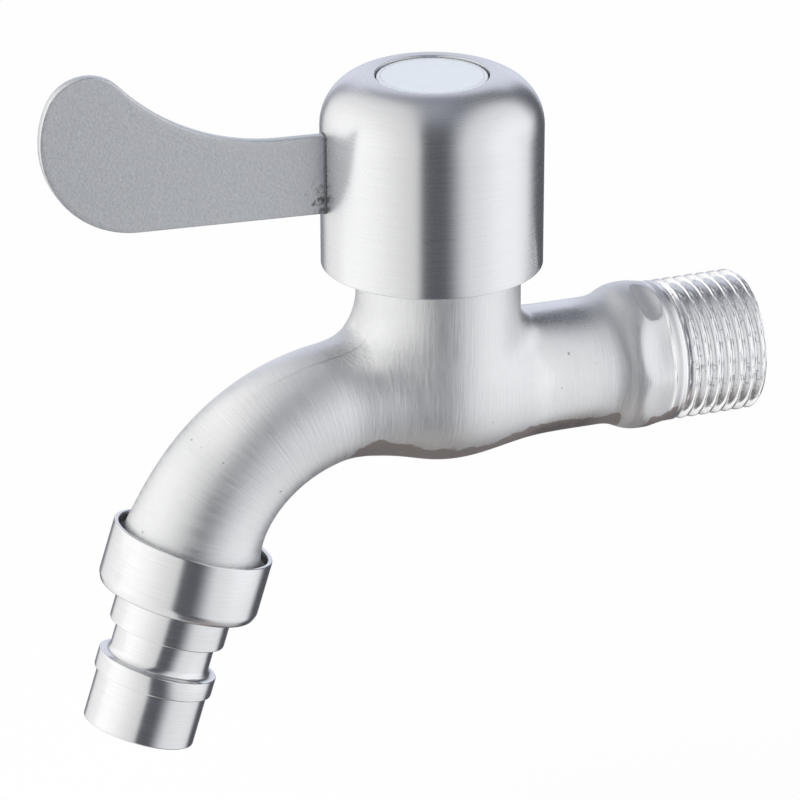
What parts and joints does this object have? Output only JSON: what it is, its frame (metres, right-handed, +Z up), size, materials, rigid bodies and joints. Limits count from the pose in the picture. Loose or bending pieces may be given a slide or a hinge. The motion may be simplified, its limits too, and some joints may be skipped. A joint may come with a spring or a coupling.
{
  "type": "washing machine tap",
  "caption": "Wall-mounted stainless steel washing machine tap with a quarter-turn lever handle, down-bent spout and stepped hose nozzle.",
  "frame": {"origin": "centre of the inlet thread's end face, where the tap goes into the wall fitting", "axes": "+X along the inlet pipe into the wall, +Z up along the handle's axis, -X the spout's side"},
  "size_m": [0.1082, 0.0326, 0.1023],
  "materials": {
    "body_steel": "satin, finely brushed",
    "nozzle_steel": "bright turned",
    "handle_steel": "satin, brushed round",
    "index_plastic": "semi-gloss",
    "brass": "turned",
    "white_plastic": "matte",
    "ceramic": "lapped alumina",
    "black_rubber": "matte",
    "plain_steel": "plain"
  },
  "bodies": {
    "tap": {"tap_body": "body_steel", "hose_nozzle": "nozzle_steel", "cartridge_housing": "brass", "fixed_ceramic_disc": "ceramic", "seat_seal": "black_rubber", "seal_backing_ring": "white_plastic", "slip_washer": "white_plastic", "housing_gasket": "black_rubber", "nozzle_washer": "black_rubber"},
    "handle": {"spindle": "brass", "spindle_circlip": "plain_steel", "spindle_oring_lower": "black_rubber", "spindle_oring_upper": "black_rubber", "moving_ceramic_disc": "ceramic", "spline_bush": "white_plastic", "handle_cap": "handle_steel", "lever_plate": "handle_steel", "index_disc": "index_plastic", "handle_screw": "plain_steel", "screw_lock_washer": "plain_steel"}
  },
  "joints": [
    {"name": "handle_turn", "type": "hinge", "parent": "tap", "child": "handle", "pos_m": [-0.0498, 0, 0.03], "axis": [0, 0, 1], "range_deg": [0, 90]}
  ]
}
